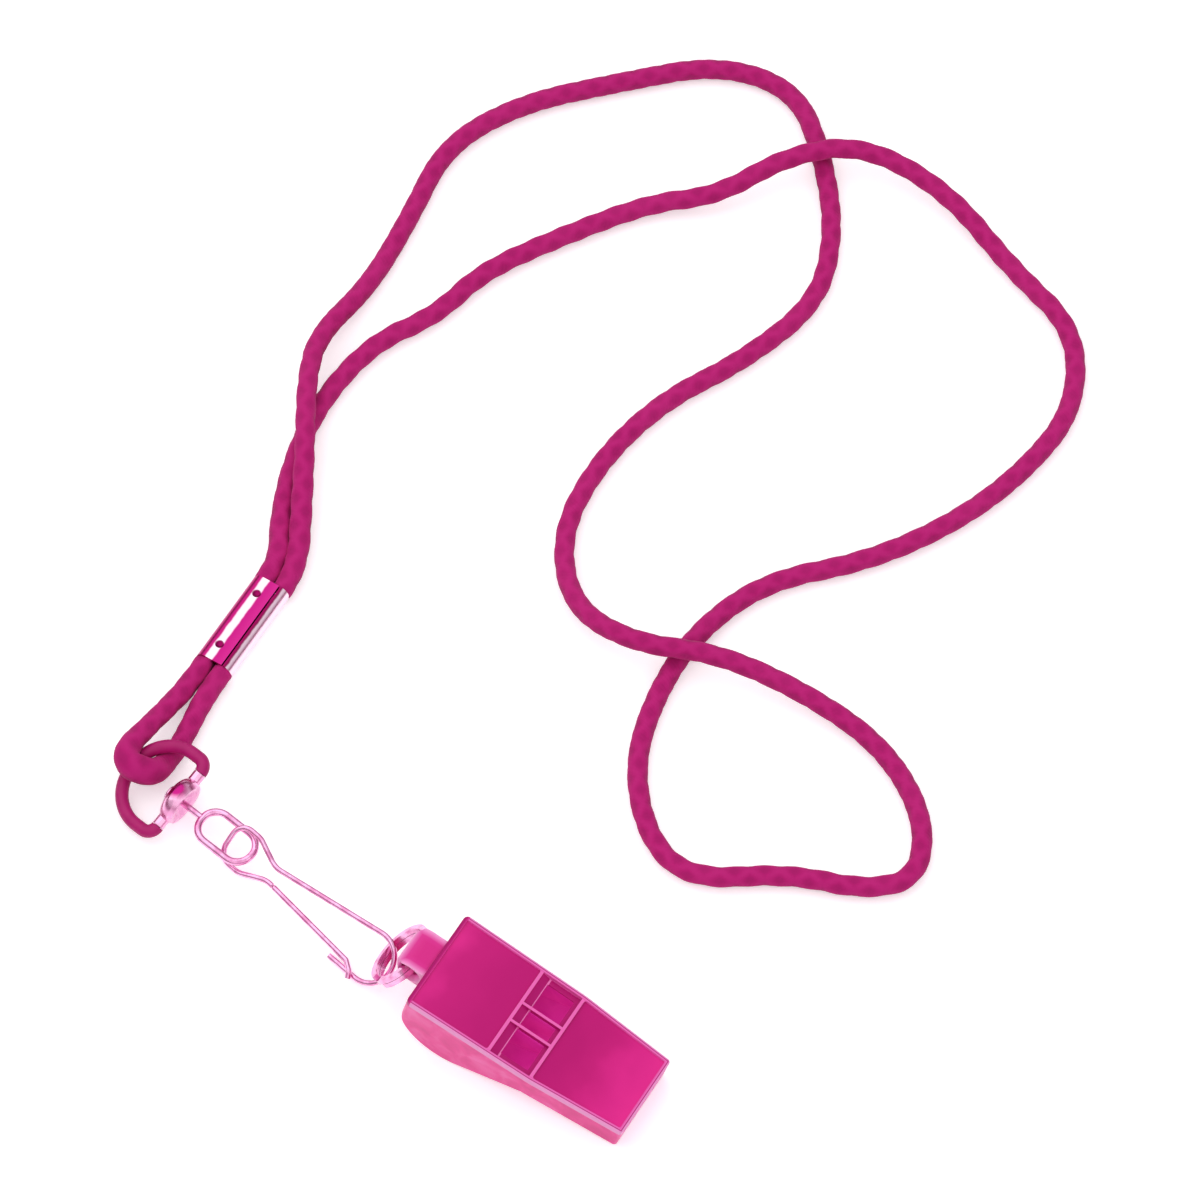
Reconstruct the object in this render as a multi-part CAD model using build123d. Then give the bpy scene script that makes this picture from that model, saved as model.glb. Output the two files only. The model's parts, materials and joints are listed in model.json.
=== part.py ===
from build123d import *
import os
from math import acos, asin, atan2, cos, degrees, hypot, radians, sin, tan

# Sports whistle on a neck lanyard, lying on a table.
# Millimetres, +Z up, +X from the whistle's back to its mouthpiece, table at z = 0.
# The origin is under the middle of the box round everything but the cord and its crimp.

# Whistle outline, seen from above
whistle_length = 51.0
back_width = 23.0
shoulder_width = 22.2
mouth_width = 19.0
shoulder_from_back = 29.4
back_corner_radius = 1.1
mouth_corner_radius = 0.8
shoulder_radius = 40.0

# Top cover
cover_thickness = 1.5
rim_width = 0.9
panel_depth = 0.35
panel_corner_radius = 0.5
cover_edge_radius = 0.25
pocket_back = 19.3
pocket_front = 29.4
bead_width = 0.7
pocket_depth = 0.95
window_back = 21.6
window_front = 28.1
window_side_land = 1.3
blade_thickness = 0.35
divider_from_axis = 2.25
rib_width = 0.55

# Lower shell
belly_radius = 10.0
belly_centre_depth = 5.9
mouth_depth = 7.6
ramp_end = 29.0
shell_wall = 1.5
divider_thickness = 1.0
windway_height = 1.3

# Lug behind the whistle
lug_width = 9.2
lug_end_radius = 3.2
lug_top_depth = 0.8
lug_hole_behind = 3.4
lug_hole_radius = 2.05
lug_hole_round = 1.0
lug_corner = 1.5

# Split ring: flat wire in two turns
ring_outer_radius = 7.5
ring_wire_width = 1.2
ring_wire_height = 1.1
ring_turn_gap = 0.1
ring_seat_share = 0.25
ring_step_angle = 13.0
ring_step_turn = 75.0
ring_droop = 50.0

# Snap hook: one bent wire, whose last leg is the gate
hook_wire = 1.2
hook_head_length = 5.8
hook_head_half_width = 4.4
hook_head_round = 3.2
hook_shoulder_round = 5.0
hook_neck_round = 5.0
hook_neck = 9.0
hook_neck_half_width = 1.65
hook_bend_radius = 6.0
hook_tip_round = 5.7
hook_spine_round = 5.3
hook_bend_centre = 36.5
hook_bend_offset = 0.8
hook_tip_length = 6.9
hook_roll = 36.0
hook_heading = -11.5
gate_tip_gap = 1.45
gate_tip_back = 0.8
gate_tab_length = 1.4
gate_tab_rise_length = 2.4
gate_tab_round = 0.9
gate_tab_clearance = 0.25
gate_joint_clearance = 0.05
gate_lead = 2.4
bend_past_ring = 3.0
bend_across_ring = 2.2
bend_below_ring = 0.5

# Swivel: eye with a headed stem, hub with two ears, and bow
eye_wire = 1.6
stem_diameter = 1.4
eye_back = 6.4
eye_far = 19.4
eye_half_width = 3.75
eye_back_round = 3.5
eye_far_round = 3.65
eye_into_hook = 3.0
stem_clearance = 0.06
stem_head_gap = 0.05
stem_head_radius = 1.7
stem_head_height = 0.8
hub_radius = 5.2
hub_length = 3.8
hub_edge = 1.0
hub_seat_radius = 2.6
hub_dish_radius = 3.7
hub_dish_depth = 1.8
hub_floor_gap = 0.2
ear_radius = 1.35
ear_reach = 6.9
peg_radius = 0.65
peg_length = 1.5
peg_clearance = 0.06
ear_face_gap = 0.15
bow_rod = 2.8
bow_half_width = 9.4
bow_depth = 13.2
bow_round = 9.0
bow_end_round = 2.25
bow_roll = 16.0
bow_swing = 12.0
swivel_heading = -7.0
hub_place = (-51.9, 4.1)

# Crimp and cord
cord_diameter = 4.3
strand_spacing = 4.5
crimp_place = (-63.8, 46.4)
crimp_length = 22.2
crimp_width = 8.6
crimp_height = 5.2
crimp_wall = 0.6
crimp_round = 2.4
crimp_dent_offset = -1.1
crimp_seam_width = 0.35
crimp_seam_offset = 2.1
crimp_dent_radius = 1.5
crimp_dent_depth = 0.35
crimp_dent_from_end = 4.0
cord_crimp_clearance = 0.08
strand_lead = 6.5
arc_run_share = 0.45

# Overrun of every cut past the face it opens
overrun = 1.0

lug_hole_depth = lug_top_depth + lug_end_radius
crimp_end = crimp_length / 2
crimp_top_y = crimp_place[1] + crimp_end
crimp_low_y = crimp_place[1] - crimp_end
strand_left = crimp_place[0] - strand_spacing / 2
strand_right = crimp_place[0] + strand_spacing / 2
strand_height = crimp_height / 2

# The neck loop's route, chosen by hand from crimp to crimp
neck_route = [
    (strand_right, crimp_top_y, strand_height),
    (strand_right, crimp_top_y + strand_lead, strand_height),
    (-68.8, 77, 4.9), (-74.4, 87, 7.0), (-83.6, 101.8, 7.0), (-88.6, 114, 4.2),
    (-86.6, 131, 2.2), (-88.4, 150, 2.2), (-91.8, 170, 2.2), (-83.5, 188, 2.2), (-68, 204, 2.2),
    (-52, 219.5, 2.2), (-34, 222.5, 2.2), (-20, 210.5, 2.2), (-8, 195, 2.2), (-2.2, 178, 2.2),
    (-8.5, 157, 2.2), (-17.5, 140.5, 2.2), (-21.5, 121, 2.2), (-19.5, 101, 2.2), (-7.5, 86, 4.2),
    (9, 84, 7.0), (25, 91.2, 7.0), (44, 94.2, 4.2), (64, 93, 2.2), (80, 83.5, 2.2), (86.5, 70.5, 2.2),
    (79, 62.2, 2.2), (63, 57, 2.2), (47, 45.3, 2.2), (34.5, 48.5, 2.2), (22.5, 62, 2.2), (17.8, 80, 2.2),
    (17.8, 97, 2.2), (24, 114, 2.2), (39.5, 129, 2.2), (50.5, 147, 2.2), (56.5, 165, 2.2), (58.2, 184, 2.2),
    (48.5, 201.5, 2.2), (29, 207.5, 2.2), (8, 216.2, 4.2), (-13, 215.5, 7.0), (-25.5, 204.5, 7.0),
    (-34, 189, 4.2), (-46, 181, 2.2), (-58, 163.5, 2.2), (-67.8, 147, 2.2), (-70.3, 132.5, 2.2),
    (-78.2, 119.5, 2.2), (-80, 101, 2.2), (-76.6, 84.5, 2.2), (-70.6, 71, 2.3),
    (strand_left, crimp_top_y + strand_lead, strand_height),
    (strand_left, crimp_top_y, strand_height),
]

# The short loop's route: over the bow's far bar, down inside it and back under the near bar
bow_route = [
    (strand_left, crimp_low_y, strand_height),
    (strand_left, crimp_low_y - strand_lead, strand_height),
    (-67.6, 21, 4.2), (-68.6, 13, 6.6), (-68.6, 5.2, 8.0), (-63.8, 2.5, 7.4),
    (-59.0, 5.2, 4.8), (-59.1, 11, 2.5), (-59.6, 16.5, 2.25), (-60.8, 23, 2.25),
    (strand_right, crimp_low_y - strand_lead, strand_height),
    (strand_right, crimp_low_y, strand_height),
]


def rod(path, radius):
    """A round rod swept along a path."""
    section = Plane(origin=path @ 0, z_dir=path % 0) * Circle(radius)
    return sweep(section, path=path)


def arc_radii(points):
    """The largest tangent arc that each corner's shorter run allows."""
    radii = []
    for before, corner, after in zip(points, points[1:], points[2:]):
        run_in = Vector(*corner) - Vector(*before)
        run_out = Vector(*after) - Vector(*corner)
        half_turn = radians(run_in.get_angle(run_out)) / 2
        radii.append(arc_run_share * min(run_in.length, run_out.length) / tan(half_turn))
    return radii


def half_width_at(x):
    """Half the whistle's width at a distance from its back."""
    if x < shoulder_from_back:
        return (back_width + (shoulder_width - back_width) * x / shoulder_from_back) / 2
    forward = (x - shoulder_from_back) / (whistle_length - shoulder_from_back)
    return (shoulder_width + (mouth_width - shoulder_width) * forward) / 2


def plan_outline():
    """The whistle's outline from above, with rounded corners."""
    corners = [
        (0, back_width / 2),
        (shoulder_from_back, shoulder_width / 2),
        (whistle_length, mouth_width / 2),
        (whistle_length, -mouth_width / 2),
        (shoulder_from_back, -shoulder_width / 2),
        (0, -back_width / 2),
    ]
    radii = [
        back_corner_radius, shoulder_radius, mouth_corner_radius,
        mouth_corner_radius, shoulder_radius, back_corner_radius,
    ]
    return make_face(FilletPolyline(*corners, radius=radii, close=True))


def band(start, end):
    """A block across the whistle between two distances from its back."""
    block = Box(end - start, 2 * back_width, 4 * belly_radius, align=(Align.MIN, Align.CENTER, Align.CENTER))
    return Pos(start, 0, 0) * block


# Belly circle and the ramp that leaves it for the mouthpiece
ramp_angle_to_end = atan2(belly_centre_depth - mouth_depth, ramp_end - belly_radius)
ramp_reach = hypot(ramp_end - belly_radius, belly_centre_depth - mouth_depth)
ramp_contact_angle = ramp_angle_to_end - acos(belly_radius / ramp_reach)
ramp_slope = -1 / tan(ramp_contact_angle)


def belly_point(radius, angle):
    """A point of a circle about the belly's centre, in side view."""
    return (belly_radius + radius * cos(angle), -belly_centre_depth + radius * sin(angle))


def belly_profile(wall, top, front):
    """Side view of the belly, its wall taken off, from its top level to a front end."""
    radius = belly_radius - wall
    back_point = belly_point(radius, radians(180))
    low_point = belly_point(radius, (radians(-180) + ramp_contact_angle) / 2)
    ramp_start = belly_point(radius, ramp_contact_angle)
    ramp_stop = (front, ramp_start[1] + (front - ramp_start[0]) * ramp_slope)
    outline = Polyline((front, top), (back_point[0], top), back_point)
    outline += ThreePointArc(back_point, low_point, ramp_start)
    outline += Polyline(ramp_start, ramp_stop, (front, top))
    return Plane.XZ * make_face(outline)


def dividers(thickness):
    """The two walls between the three cells, along the whistle."""
    length = whistle_length + 2 * overrun
    wall = Box(length, thickness, 4 * belly_radius, align=(Align.MIN, Align.CENTER, Align.CENTER))
    return [Pos(-overrun, side * divider_from_axis, 0) * wall for side in (-1, 1)]


def whistle_top_cover():
    plate = extrude(plan_outline(), -cover_thickness)
    plate = fillet(plate.faces().sort_by(Axis.Z)[-1].edges(), cover_edge_radius)
    inner = offset(plan_outline(), -rim_width, kind=Kind.INTERSECTION)
    panel = extrude(inner, 2 * panel_depth, both=True) & Pos(0, 0, -panel_depth) * Box(
        4 * whistle_length, 2 * back_width, 2 * panel_depth, align=(Align.CENTER, Align.CENTER, Align.MIN)
    )
    rear_panel = panel & band(0, pocket_back - bead_width / 2)
    front_panel = panel & band(pocket_front + bead_width / 2, whistle_length)
    rear_panel = fillet(rear_panel.edges().filter_by(Axis.Z), panel_corner_radius)
    front_panel = fillet(front_panel.edges().filter_by(Axis.Z), panel_corner_radius)
    pocket_start = pocket_back + bead_width / 2
    pocket_end = pocket_front - bead_width / 2
    ramp = Polyline(
        (pocket_start, 0),
        (pocket_start, -panel_depth),
        (window_back, -cover_thickness + blade_thickness),
        (window_front, -cover_thickness + blade_thickness),
        (window_front, -pocket_depth),
        (pocket_end, -pocket_depth),
        (pocket_end, 0),
        close=True,
    )
    pocket = extrude(Plane.XZ * make_face(ramp), back_width, both=True)
    pocket &= extrude(inner, -cover_thickness)
    window_plan = offset(plan_outline(), -rim_width - window_side_land, kind=Kind.INTERSECTION)
    window = extrude(window_plan, -2 * cover_thickness)
    window &= band(window_back, window_front)
    for rib in dividers(rib_width):
        pocket -= rib
        window -= rib
    return plate - rear_panel - front_panel - pocket - window


def whistle_lower_shell():
    outer = belly_profile(0, -cover_thickness, ramp_end)
    mouth = Plane.XZ * make_face(
        Polyline(
            (ramp_end, -cover_thickness), (whistle_length, -cover_thickness),
            (whistle_length, -mouth_depth), (ramp_end, -mouth_depth), close=True,
        )
    )
    body = extrude(outer + mouth, back_width, both=True)
    body &= Pos(0, 0, -cover_thickness) * extrude(plan_outline(), -2 * belly_radius)
    side = Pos(-lug_hole_behind, -lug_hole_depth) * Circle(lug_end_radius)
    side += Pos(-lug_hole_behind, -lug_hole_depth) * Rectangle(
        lug_hole_behind, 2 * lug_end_radius, align=(Align.MIN, Align.CENTER)
    )
    lug = extrude(Plane.XZ * side, lug_width / 2, both=True)
    lug_back = lug_hole_behind + lug_end_radius
    plan = Rectangle(2 * lug_back, lug_width)
    plan = chamfer(plan.vertices(), lug_corner)
    lug &= extrude(plan, -2 * lug_end_radius - 2 * lug_top_depth, both=True)
    body += lug
    hole = Rot(90, 0, 0) * Cylinder(lug_hole_radius, 2 * lug_width)
    body -= Pos(-lug_hole_behind, 0, -lug_hole_depth) * hole
    mouth_radius = lug_hole_radius + lug_hole_round
    flare = Cone(
        lug_hole_radius, mouth_radius, lug_hole_round, align=(Align.CENTER, Align.CENTER, Align.MAX)
    )
    for side in (-1, 1):
        body -= Pos(-lug_hole_behind, side * lug_width / 2, -lug_hole_depth) * Rot(-90 * side, 0, 0) * flare
    chamber = extrude(belly_profile(shell_wall, 0, window_front), back_width, both=True)
    chamber &= extrude(offset(plan_outline(), -shell_wall, kind=Kind.INTERSECTION), -2 * belly_radius)
    channel_end = whistle_length + overrun
    channel = Polyline(
        (window_front, half_width_at(window_front) - shell_wall),
        (channel_end, half_width_at(channel_end) - shell_wall),
        (channel_end, shell_wall - half_width_at(channel_end)),
        (window_front, shell_wall - half_width_at(window_front)),
        close=True,
    )
    windway = extrude(make_face(channel), -cover_thickness - windway_height)
    hollow = chamber + windway
    for wall in dividers(divider_thickness):
        hollow -= wall
    return body - hollow


# The whistle rests on its belly and on its mouthpiece's lower front edge, nose down.
lip_reach = hypot(whistle_length - belly_radius, belly_centre_depth - mouth_depth)
lip_angle = atan2(belly_centre_depth - mouth_depth, whistle_length - belly_radius)
whistle_pitch = asin(belly_radius / lip_reach) + lip_angle
whistle_along = Vector(cos(whistle_pitch), 0, -sin(whistle_pitch))
whistle_up = Vector(sin(whistle_pitch), 0, cos(whistle_pitch))
whistle_top_height = belly_radius - (whistle_along * belly_radius - whistle_up * belly_centre_depth).Z
lug_hole_from_top = whistle_along * -lug_hole_behind - whistle_up * lug_hole_depth
lug_hole_height = whistle_top_height + lug_hole_from_top.Z

# The ring hangs back and down from the lug's hole.
ring_middle_radius = ring_outer_radius - ring_wire_width / 2
ring_half_height = ring_wire_height + ring_turn_gap / 2
ring_out = Vector(-cos(radians(ring_droop)), 0, -sin(radians(ring_droop)))
ring_axis = Vector(0, 1, 0).cross(ring_out)
ring_centre_from_hole = ring_out * (ring_middle_radius - ring_seat_share * lug_hole_radius)
ring_far_from_hole = ring_centre_from_hole + ring_out * ring_middle_radius

# The hook lies level, rolled with its spine side up, and its bend goes down through the ring.
hook_along = Vector(cos(radians(hook_heading)), sin(radians(hook_heading)), 0)
hook_side = Vector(-sin(radians(hook_heading)), cos(radians(hook_heading)), 0)
hook_across = hook_side * cos(radians(hook_roll)) + Vector(0, 0, sin(radians(hook_roll)))
hook_normal = hook_along.cross(hook_across)
hook_height = lug_hole_height + ring_far_from_hole.Z - bend_below_ring

# The swivel slopes from the hub, which is just off the table, to the hook's head.
hub_height = hub_radius + hub_floor_gap
swivel_reach = eye_far - eye_into_hook
swivel_slope = asin((hook_height - hub_height) / swivel_reach)
swivel_flat = Vector(cos(radians(swivel_heading)), sin(radians(swivel_heading)), 0)
swivel_along = swivel_flat * cos(swivel_slope) + Vector(0, 0, sin(swivel_slope))
swivel_side = Vector(-sin(radians(swivel_heading)), cos(radians(swivel_heading)), 0)
swivel_up = swivel_along.cross(swivel_side)
bow_side = swivel_side * cos(radians(bow_roll)) + swivel_up * sin(radians(bow_roll))
hub_centre = Vector(hub_place[0], hub_place[1], hub_height)

# From the hub along the chain to the whistle
hook_origin = hub_centre + swivel_along * swivel_reach
bend_centre = hook_origin + hook_along * hook_bend_centre
ring_far = bend_centre + hook_along * (hook_bend_radius - bend_past_ring) + hook_side * bend_across_ring
lug_hole = Vector(ring_far.X, ring_far.Y, hook_height + bend_below_ring) - ring_far_from_hole
ring_centre = lug_hole + ring_centre_from_hole
whistle_origin = lug_hole - lug_hole_from_top

whistle_plane = Plane(origin=whistle_origin, x_dir=whistle_along, z_dir=whistle_up)
ring_plane = Plane(origin=ring_centre, x_dir=ring_out, z_dir=ring_axis)
hook_plane = Plane(origin=hook_origin, x_dir=hook_along, z_dir=hook_normal)
eye_plane = Plane(origin=hub_centre, x_dir=swivel_along, z_dir=swivel_up)
hub_up = swivel_along.cross(bow_side)
hub_plane = Plane(origin=hub_centre, x_dir=swivel_along, z_dir=hub_up)
bow_along = swivel_along * cos(radians(bow_swing)) + hub_up * sin(radians(bow_swing))
bow_plane = Plane(origin=hub_centre, x_dir=bow_along, z_dir=bow_along.cross(bow_side))


def split_ring():
    """Two flat turns, one above the other, joined by a short slanted step."""
    turn_lift = (ring_wire_height + ring_turn_gap) / 2

    def wire_end(angle, lift):
        face = Plane(origin=(ring_middle_radius, 0, lift), x_dir=(1, 0, 0), z_dir=(0, 1, 0))
        return Rot(0, 0, angle) * (face * Rectangle(ring_wire_width, ring_wire_height))

    def open_turn(lift):
        return revolve(wire_end(ring_step_angle, lift), Axis.Z, 360 - 2 * ring_step_angle)

    step = loft([wire_end(-ring_step_angle, -turn_lift), wire_end(ring_step_angle, turn_lift)], ruled=True)
    ring = open_turn(-turn_lift) + step + open_turn(turn_lift)
    return Rot(0, 0, ring_step_turn) * ring


tip_line = hook_bend_offset - hook_bend_radius
gate_stop = (hook_bend_centre - gate_tip_back, tip_line + gate_tip_gap)
gate_lean = atan2(gate_stop[1] + hook_neck_half_width, gate_stop[0] - hook_neck)
gate_start = (hook_neck + gate_lead * cos(gate_lean), -hook_neck_half_width + gate_lead * sin(gate_lean))


def snap_hook():
    """Tip, J bend, spine and round head, up to the gate's springing point."""
    head_back = -hook_head_length / 2
    head_front = hook_head_length / 2
    spine_top = hook_bend_offset + hook_bend_radius
    bend_far = hook_bend_centre + hook_bend_radius
    stub = gate_lead - hook_wire / 2 - gate_joint_clearance
    points = [
        (hook_bend_centre - hook_tip_length, tip_line),
        (bend_far, tip_line),
        (bend_far, spine_top),
        (hook_neck, hook_neck_half_width),
        (head_front, hook_head_half_width),
        (head_back, hook_head_half_width),
        (head_back, -hook_head_half_width),
        (head_front, -hook_head_half_width),
        (hook_neck, -hook_neck_half_width),
        (hook_neck + stub * cos(gate_lean), -hook_neck_half_width + stub * sin(gate_lean)),
    ]
    radii = [
        hook_tip_round, hook_spine_round, hook_neck_round, hook_shoulder_round,
        hook_head_round, hook_head_round, hook_shoulder_round, hook_neck_round,
    ]
    return rod(FilletPolyline(*points, radius=radii), hook_wire / 2)


def snap_hook_gate():
    """Straight springy leg with a ball end at the neck and a tab that passes over the tip."""
    rise = hook_wire + gate_tab_clearance
    length = hypot(gate_stop[0] - gate_start[0], gate_stop[1] - gate_start[1])
    leg = FilletPolyline(
        (0, 0, 0),
        (length - gate_tab_rise_length, 0, 0),
        (length, -gate_tip_gap / 2, rise),
        (length + gate_tab_length / 2, -gate_tip_gap - hook_wire / 2, rise),
        radius=[gate_tab_round, gate_tab_round],
    )
    gate = rod(leg, hook_wire / 2) + Sphere(hook_wire / 2)
    return Pos(*gate_start) * Rot(0, 0, degrees(gate_lean)) * gate


def swivel_eye():
    """Wire eye with a stem through the hub and a peened head behind it."""
    half = FilletPolyline(
        (eye_back, 0), (eye_back, eye_half_width), (eye_far, eye_half_width), (eye_far, 0),
        radius=[eye_back_round, eye_far_round],
    )
    side = rod(half, eye_wire / 2)
    loop = side + mirror(side, about=Plane.XZ)
    stem_start = -hub_length / 2 - stem_head_gap - stem_head_height
    stem = Rot(0, 90, 0) * Cylinder(
        stem_diameter / 2, eye_back - stem_start, align=(Align.CENTER, Align.CENTER, Align.MIN)
    )
    head = Rot(0, 90, 0) * Cylinder(
        stem_head_radius, stem_head_height, align=(Align.CENTER, Align.CENTER, Align.MIN)
    )
    head = fillet(head.edges().sort_by(Axis.X)[0], stem_head_height / 2)
    return loop + Pos(stem_start, 0, 0) * (stem + head)


def swivel_hub():
    """Domed hub, dished in front round the stem's bore, with an ear on each side."""
    half = hub_length / 2
    profile = Polyline((-half, 0), (-half, hub_seat_radius))
    profile += ThreePointArc(
        (-half, hub_seat_radius),
        (-half + hub_edge / 2, (hub_seat_radius + hub_radius) / 2 + hub_edge / 2),
        (half - hub_edge, hub_radius),
    )
    profile += Polyline(
        (half - hub_edge, hub_radius), (half, hub_radius - hub_edge / 2), (half, hub_dish_radius),
        (half - hub_dish_depth, stem_diameter / 2), (half - hub_dish_depth, 0), (-half, 0),
    )
    hub = revolve(make_face(profile), Axis.X)
    ear = Rot(90, 0, 0) * Cylinder(ear_radius, 2 * ear_reach)
    hub += ear
    peg_bore = Rot(90, 0, 0) * Cylinder(peg_radius + peg_clearance, 2 * peg_length + 2 * overrun)
    for side in (-1, 1):
        hub -= Pos(0, side * (ear_reach + overrun), 0) * peg_bore
    hub -= Pos(half, 0, 0) * Rot(0, 90, 0) * Cone(
        stem_diameter / 2, hub_dish_radius, hub_dish_depth, align=(Align.CENTER, Align.CENTER, Align.MAX)
    )
    return hub - Rot(0, 90, 0) * Cylinder(stem_diameter / 2 + stem_clearance, 4 * hub_length)


def swivel_bow():
    """Round rod bent to a bow, its ends turned in and stepped down to pegs."""
    end = ear_reach + ear_face_gap
    path = FilletPolyline(
        (0, end), (0, bow_half_width), (-bow_depth, bow_half_width),
        (-bow_depth, -bow_half_width), (0, -bow_half_width), (0, -end),
        radius=[bow_end_round, bow_round, bow_round, bow_end_round],
    )
    bow = rod(path, bow_rod / 2)
    root = end + bow_rod / 2
    peg = Cylinder(peg_radius, root - end + peg_length, align=(Align.CENTER, Align.CENTER, Align.MIN))
    peg = Pos(0, root, 0) * Rot(90, 0, 0) * peg
    return bow + peg + mirror(peg, about=Plane.XZ)


def cord_crimp():
    """Sheet folded round both strands, with its seam on top and a press mark near each end."""
    outer = RectangleRounded(crimp_width, crimp_height, crimp_round)
    inner = RectangleRounded(
        crimp_width - 2 * crimp_wall, crimp_height - 2 * crimp_wall, crimp_round - crimp_wall
    )
    seam = Pos(crimp_seam_offset, crimp_height / 2) * Rectangle(crimp_seam_width, 3 * crimp_wall)
    clamp = extrude(Plane.XZ * (outer - inner - seam), crimp_end, both=True)
    for end in (-1, 1):
        mark = Sphere(crimp_dent_radius)
        lift = crimp_height / 2 + crimp_dent_radius - crimp_dent_depth
        clamp -= Pos(crimp_dent_offset, end * (crimp_end - crimp_dent_from_end), lift) * mark
    return clamp


def squeezed_strands(towards):
    """The two flattened strand ends inside half of the crimp."""
    half_gap = cord_crimp_clearance / 2
    width = crimp_width / 2 - crimp_wall - cord_crimp_clearance - half_gap
    height = crimp_height - 2 * crimp_wall - 2 * cord_crimp_clearance
    flat = RectangleRounded(width, height, crimp_round - crimp_wall - cord_crimp_clearance)
    strand = extrude(Plane.XZ * flat, -towards * (crimp_end - half_gap))
    shift = width / 2 + half_gap
    place = Pos(crimp_place[0], crimp_place[1] + towards * half_gap, strand_height)
    return [place * Pos(side * shift, 0, 0) * strand for side in (-1, 1)]


def cord(route, towards):
    """A cord's tube along its route, with both ends squeezed into the crimp."""
    radii = arc_radii(route)
    path = FilletPolyline(*route, radius=radii)
    tube = rod(path, cord_diameter / 2)
    full = Circle(cord_diameter / 2).area * path.length
    print("cord length", round(path.length, 1), "volume share", round(tube.volume / full, 4))
    print("radii", [round(radius, 1) for radius in radii])
    for strand in squeezed_strands(towards):
        tube += strand
    return tube


pieces = {
    "whistle_lower_shell": whistle_plane * whistle_lower_shell(),
    "whistle_top_cover": whistle_plane * whistle_top_cover(),
    "split_ring": ring_plane * split_ring(),
    "snap_hook": hook_plane * snap_hook(),
    "snap_hook_gate": hook_plane * snap_hook_gate(),
    "swivel_eye": eye_plane * swivel_eye(),
    "swivel_hub": hub_plane * swivel_hub(),
    "swivel_bow": bow_plane * swivel_bow(),
    "cord_crimp": Pos(crimp_place[0], crimp_place[1], strand_height) * cord_crimp(),
    "neck_loop_cord": cord(neck_route, 1),
    "bow_loop_cord": cord(bow_route, -1),
}

os.makedirs("parts", exist_ok=True)
for name, piece in pieces.items():
    export_step(piece, "parts/" + name + ".step")
print("pitch", round(degrees(whistle_pitch), 2), "lug hole", lug_hole, "whistle origin", whistle_origin)
print("ring far", ring_far, "hook origin", hook_origin)
print("gate pivot", hook_plane.from_local_coords(gate_start), "hook normal", hook_normal)
print("hub centre", hub_centre, "swivel along", swivel_along, "bow side", bow_side)
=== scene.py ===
import json
import math
import bpy
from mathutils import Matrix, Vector


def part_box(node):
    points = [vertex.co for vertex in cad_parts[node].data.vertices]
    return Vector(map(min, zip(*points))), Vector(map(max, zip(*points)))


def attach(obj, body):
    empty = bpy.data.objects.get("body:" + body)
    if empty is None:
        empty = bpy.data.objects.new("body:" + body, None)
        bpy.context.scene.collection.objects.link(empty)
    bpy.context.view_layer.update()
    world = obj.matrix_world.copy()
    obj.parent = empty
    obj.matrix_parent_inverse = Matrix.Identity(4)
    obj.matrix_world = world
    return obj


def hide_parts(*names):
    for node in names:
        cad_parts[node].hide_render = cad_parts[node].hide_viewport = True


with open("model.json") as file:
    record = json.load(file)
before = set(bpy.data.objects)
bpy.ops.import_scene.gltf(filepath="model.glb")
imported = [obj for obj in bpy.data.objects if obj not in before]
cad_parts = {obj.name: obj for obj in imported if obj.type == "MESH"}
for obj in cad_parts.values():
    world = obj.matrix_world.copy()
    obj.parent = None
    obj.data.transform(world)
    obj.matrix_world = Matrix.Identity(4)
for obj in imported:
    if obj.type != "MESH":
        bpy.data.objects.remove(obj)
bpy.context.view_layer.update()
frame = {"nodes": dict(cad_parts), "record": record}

mm = 0.001
nodes = frame["nodes"]
scene = bpy.context.scene
scene.view_settings.view_transform = "Standard"
mounts = {mount["name"]: mount for mount in frame["record"]["mounts"]}
joints = {joint["name"]: joint for joint in frame["record"]["behaviour"]["joints"]}


def hexColour(text):  # sRGB to linear
    parts = [int(text[i:i + 2], 16) / 255 for i in (1, 3, 5)]
    linear = [c / 12.92 if c <= 0.04045 else ((c + 0.055) / 1.055) ** 2.4 for c in parts]
    return (*linear, 1.0)


def setInputs(tree, node, inputs):
    for socket, value in inputs.items():
        if isinstance(value, bpy.types.NodeSocket):
            tree.links.new(value, node.inputs[socket])
        else:
            node.inputs[socket].default_value = value


def addNode(tree, kind, inputs=None, **settings):
    node = tree.nodes.new(kind)
    for name, value in settings.items():
        setattr(node, name, value)
    setInputs(tree, node, inputs or {})
    return node


def setStops(ramp, stops):
    while len(ramp.elements) < len(stops):
        ramp.elements.new(0.5)
    for element, (place, colour) in zip(ramp.elements, stops):
        element.position = place
        element.color = hexColour(colour)


def newMaterial(name):
    material = bpy.data.materials.new(name)
    material.use_nodes = True
    tree = material.node_tree
    return material, tree, tree.nodes["Principled BSDF"]


def fineGrain(tree, place, size, strength, depth):  # a bump of fine noise
    grain = addNode(tree, "ShaderNodeTexNoise", {"Vector": place, "Scale": 1 / size, "Detail": 2.0})
    return addNode(
        tree, "ShaderNodeBump", {"Strength": strength, "Distance": depth, "Height": grain.outputs["Fac"]}
    ).outputs[0]


# camera at the photograph's height and heading
camera = {
    "azimuth": 31.7,
    "elevation": 61.0,
    "distance": 1500 * mm,
    "frameWidth": 252.6 * mm,
    "aim": Vector((-4.29, 92.44, 0)) * mm,
    "sensor": 36.0,
}


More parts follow.
